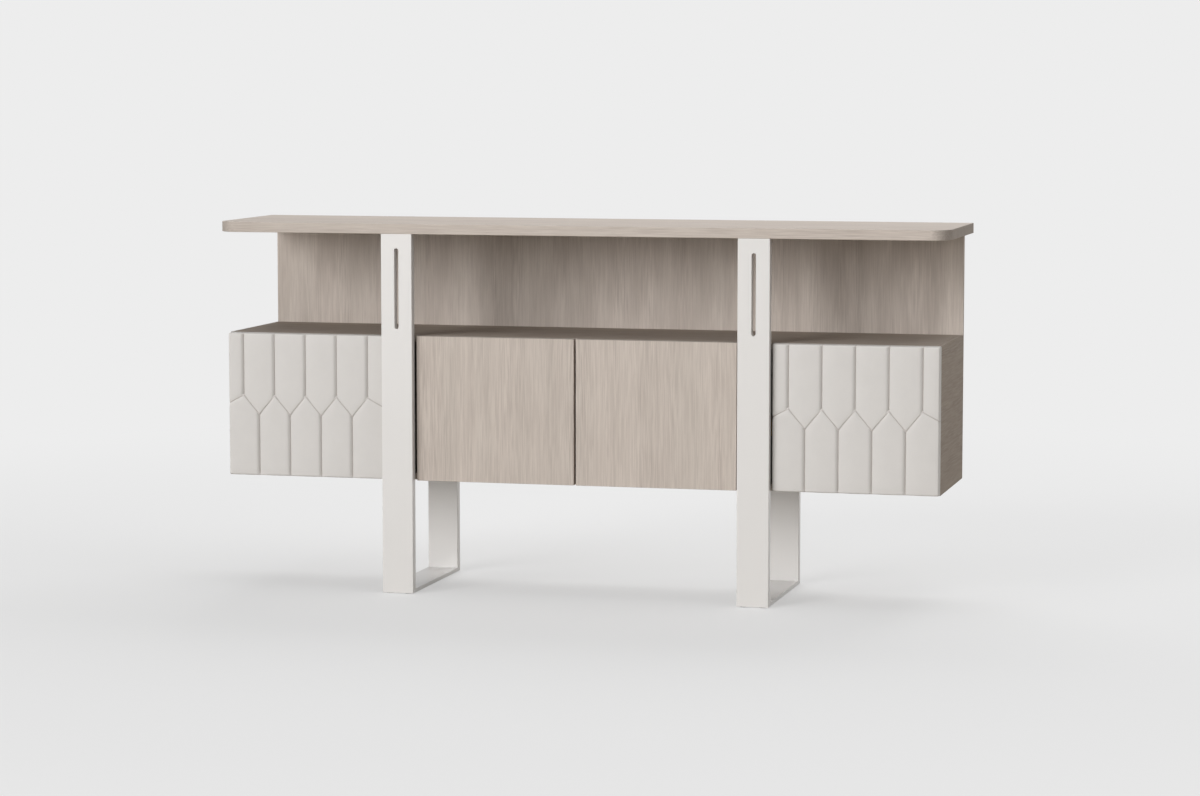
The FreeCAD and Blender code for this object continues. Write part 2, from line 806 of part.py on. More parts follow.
# What stands once on each side
for name, side in SIDES:
    export(name + "_side_panel", side_panel(side))
    export(name + "_divider", divider(side))
    export(name + "_front_upright", *front_upright(side))
    export(name + "_slot_liner", slot_liner(side))
    export(name + "_rear_upright", rear_upright(side))
    export(name + "_floor_bar", floor_bar(side))
    export(name + "_carrier_brackets", *carrier_brackets(side))
    export(name + "_door", door(side))
    export(name + "_hinge_pins", *hinge_pins(side))
    export(name + "_front_board", front_board(side))
    export(name + "_leather_pad", leather_pad(side))
    export(name + "_drawer_sides", *drawer_sides(side))
    export(name + "_drawer_back", drawer_back(side))
    export(name + "_drawer_bottom", drawer_bottom(side))
    export(name + "_file_rails", *file_rails(side))
    export(name + "_outer_slides", *outer_slides(side))
    export(name + "_middle_slides", *middle_slides(side))
    export(name + "_inner_slides", *inner_slides(side))
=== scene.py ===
# %% [markdown]
# # A low filing cabinet with quilted leather drawers
# The cabinet is a long oak box that hangs between two slotted steel leg frames, with an open niche under
# its top board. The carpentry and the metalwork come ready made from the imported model, which is loaded as
# a fixed frame. This lesson adds what such a model lacks: the padded leather fronts, every finish, the
# light and the camera. Loading the frame first means that each new piece is placed by the numbers of a
# real board.

# %% Load the frame
import json
import math

import bpy
import numpy as np
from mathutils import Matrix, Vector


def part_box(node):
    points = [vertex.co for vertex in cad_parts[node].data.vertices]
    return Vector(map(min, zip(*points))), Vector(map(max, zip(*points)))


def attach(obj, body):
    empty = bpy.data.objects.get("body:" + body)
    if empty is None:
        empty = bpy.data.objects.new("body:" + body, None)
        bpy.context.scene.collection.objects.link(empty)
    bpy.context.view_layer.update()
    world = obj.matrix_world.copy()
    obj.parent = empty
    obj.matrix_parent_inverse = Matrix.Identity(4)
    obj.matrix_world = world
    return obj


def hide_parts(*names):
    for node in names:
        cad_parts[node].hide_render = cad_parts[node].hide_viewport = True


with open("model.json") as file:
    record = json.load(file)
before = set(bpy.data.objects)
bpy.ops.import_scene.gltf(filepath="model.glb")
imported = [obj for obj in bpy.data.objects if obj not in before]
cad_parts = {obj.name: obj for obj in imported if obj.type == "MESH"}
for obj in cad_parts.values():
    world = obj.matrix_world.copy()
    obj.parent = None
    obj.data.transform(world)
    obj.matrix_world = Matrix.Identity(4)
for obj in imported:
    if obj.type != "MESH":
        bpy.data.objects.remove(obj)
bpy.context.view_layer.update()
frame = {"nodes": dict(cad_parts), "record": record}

nodes = frame["nodes"]

# %% [markdown]
# ## The camera
# The photograph was taken from far off with a long lens, to the right of the cabinet and a little above
# it. A camera could be turned by hand until the edges line up, but a location, two angles and a focal
# length say the same in six numbers, and the long lens keeps the upright legs nearly parallel.

# %% Camera
CAMERA_PLACE = (2.3194, -8.9685, 1.4456)
CAMERA_TURN, CAMERA_DIP = 0.25107, 0.09803
LENS_MM, SENSOR_MM = 100.46, 36.0

camera = bpy.data.objects.new("camera", bpy.data.cameras.new("camera"))
camera.location = CAMERA_PLACE
camera.rotation_euler = (math.pi / 2 - CAMERA_DIP, 0, CAMERA_TURN)
camera.data.lens = LENS_MM
camera.data.sensor_width = SENSOR_MM
bpy.context.scene.collection.objects.link(camera)
bpy.context.scene.camera = camera
print("camera", round(math.degrees(CAMERA_TURN), 1), "degrees to the right")

# %% [markdown]
# ## Helpers for finishes
# A finish is a small graph of nodes. Colours are written as sRGB hex, as a paint chart gives them, and
# one function turns them into the linear light that a renderer mixes. A second function adds a node, sets
# it and links it in one line, so that each finish below reads like a recipe, and a third starts an empty
# finish.

# %% Helpers for finishes
MM = 0.001


def linear(code):
    """An sRGB hex colour as linear light: below 0.04045 a straight line, above it a power of 2.4."""
    srgb = np.array([int(code[i:i + 2], 16) for i in (1, 3, 5)]) / 255
    light = np.where(srgb <= 0.04045, srgb / 12.92, ((srgb + 0.055) / 1.055) ** 2.4)
    return (*light.tolist(), 1.0)


def add(tree, kind, inputs=(), out=0, **settings):
    """Add one node, set its properties, give its sockets values or links, and return one of its outputs.
    Sockets are named, or counted where names repeat; those that the settings switch off are passed
    over."""
    node = tree.nodes.new("ShaderNode" + kind)
    for name, value in settings.items():
        setattr(node, name, value)
    sockets = [socket for socket in node.inputs if socket.enabled]
    for key, value in dict(inputs).items():
        socket = sockets[key] if isinstance(key, int) else next(s for s in sockets if s.name == key)
        if isinstance(value, bpy.types.NodeSocket):
            tree.links.new(value, socket)
        else:
            socket.default_value = value
    outputs = [socket for socket in node.outputs if socket.enabled]
    return outputs[out] if isinstance(out, int) else node.outputs[out]


def new_finish(name):
    """An empty material with its node tree and the Principled shader in it."""
    material = bpy.data.materials.new(name)
    material.use_nodes = True
    return material, material.node_tree, material.node_tree.nodes["Principled BSDF"]


print("mid grey in linear light:", [round(v, 3) for v in linear("#808080")[:3]])

# %% [markdown]
# ## Greyed oak veneer
# The boards are faced with straight-grained oak veneer, stained a warm grey and lacquered matt. What the
# eye sees is fine streaks along the grain, bands a hand wide that are a shade lighter or deeper, broad
# soft smudges, and short darker flecks that come in clusters. A photograph of wood would repeat and carry
# its own light, so the grain is built from noise that is stretched along the board: the same noise at
# several widths gives bands, smudges, streaks, flecks and pores.

# %% Grain of the oak
GRAIN_STRETCH, FLECK_STRETCH, SMUDGE_STRETCH = 40.0, 30.0, 5.0


def oak_grain(tree, grain, offset):
    """The patterns of one leaf of oak: noise that is stretched along the axis of the grain. The offset,
    in metres, cuts the leaf from another part of the log."""
    place = add(tree, "TexCoord", out="Object")
    shares = [tuple(1 / stretch if axis == grain else 1.0 for axis in "XYZ")
              for stretch in (GRAIN_STRETCH, FLECK_STRETCH, SMUDGE_STRETCH)]
    along, short, broad = [add(tree, "Mapping", {"Vector": place, "Location": offset, "Scale": share})
                           for share in shares]
    # Each pattern's mapping, its width in millimetres, its detail and how rough that detail is.
    # Real pores are 0.2 mm wide, which no pixel shows, so they are drawn four times as wide.
    patterns = {"bands": (along, 75, 2.0, 0.5), "smudges": (broad, 42, 2.0, 0.45),
                "clusters": (along, 30, 1.0, 0.5), "streaks": (along, 6.5, 3.0, 0.6),
                "flecks": (short, 3.0, 1.0, 0.5), "pores": (along, 0.8, 2.0, 0.6)}
    return {name: add(tree, "TexNoise", {"Vector": mapping, "Scale": 1 / (width * MM), "Detail": detail,
                                         "Roughness": rough})
            for name, (mapping, width, detail, rough) in patterns.items()}


print("streaks are", GRAIN_STRETCH, "times as long as wide")

# %% [markdown]
# ### The colour of one leaf
# Each pattern lays one tone over the last, as stain does on wood: smudges first, then streaks, flecks and
# pores. A board may be more smudged than another. Two tones are painted shade: a grey that darkens the
# boards which lie in shade, the sides and the inner boards, and a darker tone on each face that looks
# along the grain, the board ends. The surface's own direction tells which face that is. The edges to the
# front and rear keep the plain tone.

# %% Colour of the oak
# The third tone is painted shade for faces that look along the grain, the board ends.
OAK_DEEP, OAK_PALE, PAINTED_END_SHADE = "#C9C0B7", "#CEC4BB", "#DCDCDC"


def oak_colour(tree, noise, grain, painted_shade, figure):
    """Mix the tones of a leaf. A grey of painted shade multiplies the colour, except on the edges to the
    front and rear, a darker painted shade falls on faces along the grain, and figure is the strength of
    the smudges."""
    tone = add(tree, "MapRange", {"Value": noise["bands"], "From Min": 0.35, "From Max": 0.65})
    smudge = add(tree, "MapRange", {"Value": noise["smudges"], "From Min": 0.4, "From Max": 0.7,
                                    "To Max": figure})
    streak = add(tree, "MapRange", {"Value": noise["streaks"], "From Min": 0.3, "From Max": 0.7,
                                    "To Max": 0.55})
    crowd = add(tree, "MapRange", {"Value": noise["clusters"], "From Min": 0.4, "From Max": 0.7,
                                   "To Min": 0.3, "To Max": 0.6})
    fine = add(tree, "MapRange", {"Value": noise["flecks"], "From Min": 0.36, "From Max": 0.7})
    fleck = add(tree, "Math", {0: fine, 1: crowd}, operation="MULTIPLY")
    pore = add(tree, "MapRange", {"Value": noise["pores"], "From Min": 0.58, "From Max": 0.78, "To Max": 0.5})
    facing = add(tree, "VectorMath", {0: add(tree, "TexCoord", out="Normal")}, operation="ABSOLUTE")
    along_grain, to_front = [add(tree, "SeparateXYZ", {"Vector": facing}, out=axis) for axis in (grain, "Y")]
    # Painted shade covers every face except those to the front and rear.
    painted_shade_share = add(tree, "MapRange", {"Value": to_front, "From Min": 0.2, "From Max": 0.8,
                                       "To Min": 1.0, "To Max": 0.0})
    # How much a face looks along the grain, which sets its painted end shade.
    ends = add(tree, "MapRange", {"Value": along_grain, "From Min": 0.2, "From Max": 0.8})
    colour = add(tree, "Mix", {"Factor": tone, "A": linear(OAK_DEEP), "B": linear(OAK_PALE)},
                 data_type="RGBA")
    # The last two mixes are painted shade: a grey on boards that lie in shade, and a darker tone on faces
    # along the grain.
    for share, code, blend in ((smudge, "#998E86", "MIX"), (streak, "#BDB2AA", "MIX"),
                               (fleck, "#A39891", "MIX"), (pore, "#A69991", "MIX"),
                               (painted_shade_share, painted_shade, "MULTIPLY"), (ends, PAINTED_END_SHADE, "MULTIPLY")):
        colour = add(tree, "Mix", {"Factor": share, "A": colour, "B": linear(code)}, data_type="RGBA",
                     blend_type=blend)
    return colour


print("oak between", OAK_DEEP, "and", OAK_PALE)

# %% [markdown]
# ### The oak boards
# Each board passes its own grain direction, because the top runs lengthwise, the fronts run upright and
# the sides run front to back. The matt lacquer hardly mirrors, so its specular level is low, and the open
# pores are a shallow bump.

# %% Oak veneer
def oak_veneer(name, grain, offset, painted_shade, figure):
    """Lacquered oak with its grain along one axis: the leaf's colour, streaked gloss, and pores as a
    bump."""
    material, tree, shader = new_finish(name)
    noise = oak_grain(tree, grain, offset)
    colour = oak_colour(tree, noise, grain, painted_shade, figure)
    gloss = add(tree, "MapRange", {"Value": noise["streaks"], "To Min": 0.62, "To Max": 0.78})
    bump = add(tree, "Bump", {"Height": noise["pores"], "Strength": 0.12, "Distance": 0.2 * MM}, invert=True)
    shader.inputs["Specular IOR Level"].default_value = 0.06
    tree.links.new(colour, shader.inputs["Base Color"])
    tree.links.new(gloss, shader.inputs["Roughness"])
    tree.links.new(bump, shader.inputs["Normal"])
    return material


# The grey in each line is painted shade: it darkens the inner boards, whose top is the floor of the niche,
# and the sides, which lie in shade; white leaves a board as it is.
oak = {
    "lengthwise": oak_veneer("greyed_oak_lengthwise", "X", (0.0, 0.3, 0.1), "#FFFFFF", 0.1),
    "shaded_inner_lengthwise": oak_veneer("greyed_oak_shaded_inner_lengthwise", "X", (0.4, 0.1, 0.6), "#D2CFCB", 0.1),
    "upright": oak_veneer("greyed_oak_upright", "Z", (0.0, 0.0, 0.0), "#FFFFFF", 0.14),
    "panel": oak_veneer("greyed_oak_panel", "Z", (0.7, 0.2, 0.05), "#FFFFFF", 0.42),
    "shaded_front_to_back": oak_veneer("greyed_oak_shaded_front_to_back", "Y", (0.1, 0.0, 0.4), "#D0CDC9", 0.1),
}
print("oak finishes:", sorted(oak))

# %% [markdown]
# ## Powder-coated steel
# The leg frames are steel tube with an off-white powder coat, baked to a satin skin. Up close such a skin
# has a faint orange peel, soft hills about a millimetre apart, which blurs reflections a little. A bump
# from noise at that spacing gives this without any geometry. A thin clear lacquer lies over the powder.
# It mirrors the bright surroundings at a flat angle, so a side face that is seen nearly edge-on stays
# pale.

# %% Powder coat
GLOSS_SPREAD = 0.05


def powder_coat(name, code, roughness, lacquer):
    """A baked coat: one colour, uneven gloss, orange peel a millimetre apart, and a share of clear
    lacquer."""
    material, tree, shader = new_finish(name)
    place = add(tree, "TexCoord", out="Object")
    peel = add(tree, "TexNoise", {"Vector": place, "Scale": 1 / (1.1 * MM), "Detail": 1.0})
    cloud = add(tree, "TexNoise", {"Vector": place, "Scale": 1 / (160 * MM), "Detail": 2.0})
    gloss = add(tree, "MapRange", {"Value": cloud, "To Min": roughness - GLOSS_SPREAD,
                                   "To Max": roughness + GLOSS_SPREAD})
    bump = add(tree, "Bump", {"Height": peel, "Strength": 0.06, "Distance": 0.1 * MM})
    shader.inputs["Base Color"].default_value = linear(code)
    shader.inputs["Coat Weight"].default_value = lacquer
    shader.inputs["Coat Roughness"].default_value = 0.1
    tree.links.new(gloss, shader.inputs["Roughness"])
    tree.links.new(bump, shader.inputs["Normal"])
    return material


white_coat = powder_coat("powder_coated_steel", "#DAD8D6", 0.3, 0.3)
black_coat = powder_coat("black_coated_steel", "#1B1B1C", 0.5, 0.0)
print("coats:", white_coat.name, black_coat.name)

# %% [markdown]
# ## Leather
# The drawer fronts wear light grey upholstery leather with a fine embossed grain. Its surface is a net of
# tiny pebbles with creases between them and a soft sheen, and painted shade darkens it along the seams. A
# Voronoi pattern has the shape of such pebbles, and an attribute on the mesh says how near a seam is.

# %% Leather
# How dark the painted shade in the seams is.
SEAM_SHADE_SHARE = 0.6


def upholstery_leather(name):
    """Pebbled leather: Voronoi cells for the grain, noise for its uneven dye, and painted shade in the
    seams."""
    material, tree, shader = new_finish(name)
    place = add(tree, "TexCoord", out="Object")
    # The real grain is about 0.7 mm; it is drawn at 1.3 mm so that a close view can show it.
    pebbles = add(tree, "TexVoronoi", {"Vector": place, "Scale": 1 / (1.3 * MM), "Randomness": 0.9},
                  feature="SMOOTH_F1")
    dye = add(tree, "TexNoise", {"Vector": place, "Scale": 1 / (45 * MM), "Detail": 3.0})
    seam = add(tree, "Attribute", out="Fac", attribute_name="seam")
    skin = add(tree, "Mix", {"Factor": dye, "A": linear("#C8C5C2"), "B": linear("#CFCCC9")}, data_type="RGBA")
    # Painted shade in the seams: the seam attribute darkens the skin towards a deeper grey.
    seam_shade = add(tree, "Math", {0: seam, 1: SEAM_SHADE_SHARE}, operation="MULTIPLY")
    colour = add(tree, "Mix", {"Factor": seam_shade, "A": skin, "B": linear("#A59C96")}, data_type="RGBA")
    bump = add(tree, "Bump", {"Height": pebbles, "Strength": 0.1, "Distance": 0.25 * MM}, invert=True)
    gloss = add(tree, "MapRange", {"Value": dye, "To Min": 0.46, "To Max": 0.58})
    shader.inputs["Sheen Weight"].default_value = 0.05
    tree.links.new(colour, shader.inputs["Base Color"])
    tree.links.new(gloss, shader.inputs["Roughness"])
    tree.links.new(bump, shader.inputs["Normal"])
    return material


leather = upholstery_leather("pebbled_leather")
print("leather:", leather.name)

# %% [markdown]
# ## Birch plywood and beech
# The drawer boxes are lacquered birch plywood, whose faces show a pale silky grain and whose edges show
# the glued layers. The layers are stacked through the board's thickness, so the fraction of a distance
# along that axis tells light layers from dark ones, and the surface's own direction decides where they
# show: on the edges, not on the faces. Beech has a similar silky grain, so the same recipe serves without
# the layers.

# %% Plywood and beech
PALE_STRETCH = 26
LAYER_PAIR = 2.8 * MM
BIRCH_PALE, BIRCH_DEEP, BIRCH_LAYER = "#DCC9A8", "#CDB48C", "#B08F66"


def layered(tree, colour, place, axis):
    """Darken every second layer of plywood on its edges: half of each pair of layers along the thickness
    axis, where the surface looks less than half along that axis."""
    through = add(tree, "SeparateXYZ", {"Vector": place}, out=axis)
    pairs = add(tree, "Math", {0: through, 1: 1 / LAYER_PAIR}, operation="MULTIPLY")
    within = add(tree, "Math", {0: pairs}, operation="FRACT")
    second = add(tree, "Math", {0: within, 1: 0.5}, operation="GREATER_THAN")
    facing = add(tree, "SeparateXYZ", {"Vector": add(tree, "TexCoord", out="Normal")}, out=axis)
    flat = add(tree, "Math", {0: facing}, operation="ABSOLUTE")
    edge = add(tree, "Math", {0: flat, 1: 0.5}, operation="LESS_THAN")
    shown = add(tree, "Math", {0: second, 1: edge}, operation="MULTIPLY")
    return add(tree, "Mix", {"Factor": shown, "A": colour, "B": linear(BIRCH_LAYER)}, data_type="RGBA")


def pale_wood(name, grain, pale, deep, layers=None):
    """Pale wood with grain along one axis; layers names the thickness axis of plywood, or None."""
    material, tree, shader = new_finish(name)
    stretch = tuple(1 / PALE_STRETCH if axis == grain else 1.0 for axis in "XYZ")
    place = add(tree, "TexCoord", out="Object")
    along = add(tree, "Mapping", {"Vector": place, "Scale": stretch})
    figure = add(tree, "TexNoise", {"Vector": along, "Scale": 1 / (6 * MM), "Detail": 4.0, "Roughness": 0.6})
    flecks = add(tree, "TexNoise", {"Vector": along, "Scale": 1 / (1.2 * MM), "Detail": 1.0})
    tone = add(tree, "MapRange", {"Value": figure, "From Min": 0.3, "From Max": 0.7})
    colour = add(tree, "Mix", {"Factor": tone, "A": linear(pale), "B": linear(deep)}, data_type="RGBA")
    if layers:
        colour = layered(tree, colour, place, layers)
    bump = add(tree, "Bump", {"Height": flecks, "Strength": 0.08, "Distance": 0.1 * MM})
    shader.inputs["Roughness"].default_value = 0.42
    tree.links.new(colour, shader.inputs["Base Color"])
    tree.links.new(bump, shader.inputs["Normal"])
    return material


plywood = {}
for board, part, grain, layers in (("_drawer_sides", "sides", "Y", "X"),
                                   ("_drawer_back", "back", "X", "Y"),
                                   ("_drawer_bottom", "bottom", "Y", "Z"),
                                   ("_front_board", "front", "Z", "Y")):
    plywood[board] = pale_wood("birch_plywood_" + part, grain, BIRCH_PALE, BIRCH_DEEP, layers)
beech = pale_wood("bare_beech", "Y", "#CFAE86", "#BE9668")
print("plywood boards:", sorted(plywood))

# %% [markdown]
# ## Small metal and plastic parts
# Slides, hinges and screws are zinc plated: bright, slightly blue, with the faint rolling lines of strip
# steel. The latches and glides are moulded plastic with a fine spark-eroded skin, and the bumpers are
# soft clear rubber. They are small, but they show when a door or a drawer is open.

# %% Zinc, plastic and rubber
ROLLING_STRETCH = 25
SKIN_SPREAD = 0.06


def zinc_plate(name):
    """Plated strip: full metal, with roughness that streaks along the rolling direction."""
    material, tree, shader = new_finish(name)
    place = add(tree, "TexCoord", out="Object")
    rolled_strip = add(tree, "Mapping", {"Vector": place, "Scale": (1.0, 1 / ROLLING_STRETCH, 1.0)})
    lines = add(tree, "TexNoise", {"Vector": rolled_strip, "Scale": 1 / (1.5 * MM), "Detail": 2.0})
    tone = add(tree, "Mix", {"Factor": lines, "A": linear("#BFC2C6"), "B": linear("#D2D4D6")},
               data_type="RGBA")
    gloss = add(tree, "MapRange", {"Value": lines, "To Min": 0.26, "To Max": 0.42})
    shader.inputs["Metallic"].default_value = 1.0
    tree.links.new(tone, shader.inputs["Base Color"])
    tree.links.new(gloss, shader.inputs["Roughness"])
    return material


def moulded(name, code, roughness, transmission):
    """A moulded part: one colour, a matt spark-eroded skin, and some light let through if it is clear."""
    material, tree, shader = new_finish(name)
    place = add(tree, "TexCoord", out="Object")
    skin = add(tree, "TexNoise", {"Vector": place, "Scale": 1 / (0.5 * MM), "Detail": 1.0})
    bump = add(tree, "Bump", {"Height": skin, "Strength": 0.1, "Distance": 0.05 * MM})
    gloss = add(tree, "MapRange", {"Value": skin, "To Min": roughness - SKIN_SPREAD,
                                   "To Max": roughness + SKIN_SPREAD})
    shader.inputs["Base Color"].default_value = linear(code)
    shader.inputs["Transmission Weight"].default_value = transmission
    tree.links.new(gloss, shader.inputs["Roughness"])
    tree.links.new(bump, shader.inputs["Normal"])
    return material


zinc = zinc_plate("zinc_plated_steel")
plastic = moulded("moulded_nylon", "#8A8987", 0.5, 0.0)
rubber = moulded("soft_clear_rubber", "#D8D7D2", 0.35, 0.4)
print("small finishes:", zinc.name, plastic.name, rubber.name)

# %% [markdown]
# ## Dressing the frame
# Every board, tube and screw of the frame takes the finish of its material slot in the record. Boards
# need more than a slot: the grain of the top and of the niche floor runs along the cabinet, that of the
# sides runs front to back, and that of the fronts stands upright.

# %% Finishes on the frame
slot_of = {part["node"]: part["material_slot"] for part in frame["record"]["subparts"]}
slot_finish = {"painted_steel": white_coat, "black_steel": black_coat, "zinc_steel": zinc,
               "grey_plastic": plastic, "clear_rubber": rubber, "beech": beech, "leather": leather}
board_finish = {"top_board": oak["lengthwise"], "carcass_top_panel": oak["shaded_inner_lengthwise"],
                "carcass_bottom_panel": oak["shaded_inner_lengthwise"], "niche_back_panel": oak["panel"]}
for side in ("left", "right"):
    board_finish[side + "_side_panel"] = oak["shaded_front_to_back"]
    for board, finish in plywood.items():
        board_finish[side + board] = finish
for name, piece in nodes.items():
    finish = board_finish.get(name) or slot_finish.get(slot_of[name]) or oak["upright"]
    piece.data.materials.clear()
    piece.data.materials.append(finish)
print("dressed", len(nodes), "pieces")

# %% [markdown]
# ## The quilted leather fronts
# Each drawer front is a board wrapped in foam and leather, sewn in two rows of long six-sided panels: a
# zigzag seam across the middle, upright seams from its peaks to the top edge and from its valleys to the
# bottom edge. A cloth simulation could blow such panels up, but its mesh doesn't follow a seam narrower
# than its cells, and here the seams are the look. So the leather is one grid whose lines lie along the
# seams, and the sewn lines come first.

# %% Seam lines
COLUMNS = 5
PEAK_DROP, VALLEY_DROP, SIDE_DROP = 175 * MM, 228 * MM, 199 * MM
PAST_RIM = 30 * MM


def seam_lines(width, height):
    """The sewn lines as rows (x0, drop0, x1, drop1): a zigzag of straight stretches between side end,
    peaks and valleys, uprights from the peaks up and from the valleys down, and all ends carried on round
    the rim."""
    knots = np.linspace(0, width, 2 * COLUMNS + 1)
    drops = np.where(np.arange(len(knots)) % 2 == 1, PEAK_DROP, VALLEY_DROP)
    drops[[0, -1]] = SIDE_DROP
    zigzag = np.column_stack([knots[:-1], drops[:-1], knots[1:], drops[1:]])
    ends = np.array([[-PAST_RIM, SIDE_DROP, 0, SIDE_DROP], [width, SIDE_DROP, width + PAST_RIM, SIDE_DROP]])
    peaks, valleys = knots[1::2], knots[2:-1:2]
    upper = np.column_stack([peaks, 0 * peaks - PAST_RIM, peaks, 0 * peaks + PEAK_DROP])
    lower = np.column_stack([valleys, 0 * valleys + VALLEY_DROP, valleys, 0 * valleys + height + PAST_RIM])
    return knots, drops, np.vstack([zigzag, ends]), np.vstack([upper, lower])


pad_low, pad_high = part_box("left_leather_pad")
pad_width, pad_wall, pad_height = pad_high - pad_low
print("sewn lines on one front:", [len(lines) for lines in seam_lines(pad_width, pad_height)[2:]])

# %% [markdown]
# ### A grid that lies along the seams
# An even grid would need steps of half a millimetre everywhere to show a seam. Here the columns crowd
# around every upright seam and the rows bend with the zigzag, so the points lie where the leather turns
# sharply, and the calm middle of a panel has few.

# %% Grid of the leather
EDGE_RADIUS = 5 * MM
NEAR_SEAM = np.array([0.0, 0.3, 0.7, 1.2, 1.8, 2.5, 3.4, 4.5, 5.8, 7.2, 8.8, 11.2, 14.5]) * MM
CALM_STEP = 9 * MM
ROUND_STEPS, WALL_STEPS = 8, 3
RIM_ROOM = 0.1 * MM


def crowded(low, high):
    """Stations from low to high: close steps next to both ends, even steps of about 9 mm between."""
    start, end = low + NEAR_SEAM[-1], high - NEAR_SEAM[-1]
    middle = np.linspace(start, end, 2 + int((end - start) / CALM_STEP))[1:-1]
    return np.concatenate([low + NEAR_SEAM, middle, high - NEAR_SEAM[::-1]])


def crowded_shares(low, high):
    """The same stations as shares of the way from low to high."""
    stations = crowded(low, high)
    return (stations - stations[0]) / (stations[-1] - stations[0])


def leather_grid(width, height, wall):
    """Flat lengths of leather for every grid point: across from the left edge, drop from the top edge.
    Columns crowd round each knot of the zigzag, rows are shares of the way from an edge to the zigzag."""
    knots, drops = seam_lines(width, height)[:2]
    turn = EDGE_RADIUS * math.pi / 2
    rim = np.concatenate([np.linspace(0, turn, ROUND_STEPS + 1)[1:],
                          turn + np.linspace(0, wall - EDGE_RADIUS, WALL_STEPS + 1)[1:]])
    left, right, bottom = EDGE_RADIUS, width - EDGE_RADIUS, height - EDGE_RADIUS
    columns = np.unique(np.concatenate([crowded(a, b) for a, b in zip(knots[:-1], knots[1:])]).round(6))
    columns = columns[(columns > left + RIM_ROOM) & (columns < right - RIM_ROOM)]
    columns = np.concatenate([left - rim[::-1], [left], columns, [right], right + rim])
    middle = np.interp(columns, knots, drops)
    upper = EDGE_RADIUS + np.outer(crowded_shares(EDGE_RADIUS, SIDE_DROP), middle - EDGE_RADIUS)
    lower = middle + np.outer(crowded_shares(SIDE_DROP, bottom)[1:], bottom - middle)
    over = np.repeat((EDGE_RADIUS - rim[::-1])[:, None], len(columns), axis=1)
    under = np.repeat((bottom + rim)[:, None], len(columns), axis=1)
    drop = np.vstack([over, upper, lower, under])
    return np.broadcast_to(columns, drop.shape), drop


print("grid of one front:", leather_grid(pad_width, pad_height, pad_wall)[0].shape)

# %% [markdown]
# ### How the leather falls to a seam
# Foam swells the leather between the seams, and thread draws it down. Two simple falls describe that: a
# roll, straight with a round shoulder, and a crown, which flattens out away from the seam. The upright
# seams aren't alike on both sides, because their spare edges are turned under the panel on the left.

# %% Falls of the leather
ROLL_SLOPE, ROLL_REACH, ROLL_ROUND = 0.74, 10.5 * MM, 7.0 * MM
ROLL_DEPTH = ROLL_SLOPE * (ROLL_REACH - ROLL_ROUND / 2)
LEFT_CROWN, RIGHT_CROWN, CROWN_REACH = 1.0 * MM, 2.6 * MM, 42 * MM
STEP_REACH = 1.7 * MM
ZIGZAG_FADE, RIM_FADE = 4 * MM, 12 * MM


def rolled(distance, slope, reach, round_over):
    """A straight fall to the seam that starts in a round shoulder: slope times u - r/2, or times u^2/2r
    in the shoulder, where u is how far the point lies inside the reach and r is the length of the
    shoulder."""
    inside = np.clip(reach - distance, 0, None)
    return slope * np.where(inside < round_over, inside ** 2 / (2 * round_over), inside - round_over / 2)


def crowned(distance, depth, reach):
    """A falling square: depth at the seam, level from reach on."""
    return depth * np.clip(1 - distance / reach, 0, 1) ** 2


def upright_sink(across, drop, height, knots, drops):
    """How deep the upright seams draw the leather in. Their spare edges are turned to one side and lie
    under the panel on the left, which rolls down to the seam, while the panel on the right rises from it
    in a long slope. A seam fades out over the last 4 mm before the zigzag, and to half its depth over 12
    mm at the rim."""
    above = np.interp(across, knots, drops) - drop
    sink = 0
    for seams, room, rim in ((knots[1::2], above, drop), (knots[2:-1:2], -above, height - drop)):
        share = np.clip(np.minimum(room / ZIGZAG_FADE, 0.5 + rim / (2 * RIM_FADE)), 0, 1)
        offset = across[..., None] - seams
        left = rolled(-offset, ROLL_SLOPE, ROLL_REACH, ROLL_ROUND) + crowned(-offset, LEFT_CROWN, CROWN_REACH)
        step = crowned(offset, ROLL_DEPTH + LEFT_CROWN - RIGHT_CROWN, STEP_REACH)
        right = step + crowned(offset, RIGHT_CROWN, CROWN_REACH)
        sink = sink + np.where(offset < 0, left, right).sum(-1) * share * share * (3 - 2 * share)
    return sink


print("deepest upright seam", round((ROLL_DEPTH + LEFT_CROWN) / MM, 1), "mm")

# %% [markdown]
# ### Height of the padding
# The depth of every point is a sum: the zigzag's cleft and shoulder, the upright seams, the soft outer
# edge, and puckers where the thread gathers the leather. A sum of smooth falls stays smooth where seams
# meet, which a sculpted surface would have to be worked for.

# %% Height of the padding
CLEFT_DEPTH, CLEFT_REACH = 1.3 * MM, 2.0 * MM
PILLOW_DEPTH, PILLOW_REACH = 1.2 * MM, 12 * MM
BORDER_DEPTH, BORDER_REACH = 1.1 * MM, 26 * MM
PUCKER_DEPTH, PUCKER_AWAY = 0.1 * MM, 4 * MM
RIPPLE, SWAY, PATCH_DROP, PATCH_ACROSS = 2.7 * MM, 19 * MM, 11 * MM, 7 * MM
HAIR = 0.02 * MM


def seam_distance(across, drop, lines):
    """Distance of each point to the nearest seams: a soft minimum, (sum of d^-6)^(-1/6), rounds the
    corners. A hair is added to each distance, because the power has no value on the seam itself."""
    points = np.stack([across, drop], axis=-1)[..., None, :]
    start, along = lines[:, :2], lines[:, 2:] - lines[:, :2]
    share = np.clip(((points - start) * along).sum(-1) / (along ** 2).sum(-1), 0, 1)
    distance = np.linalg.norm(points - start - share[..., None] * along, axis=-1)
    return ((distance + HAIR) ** -6.0).sum(-1) ** (-1 / 6)


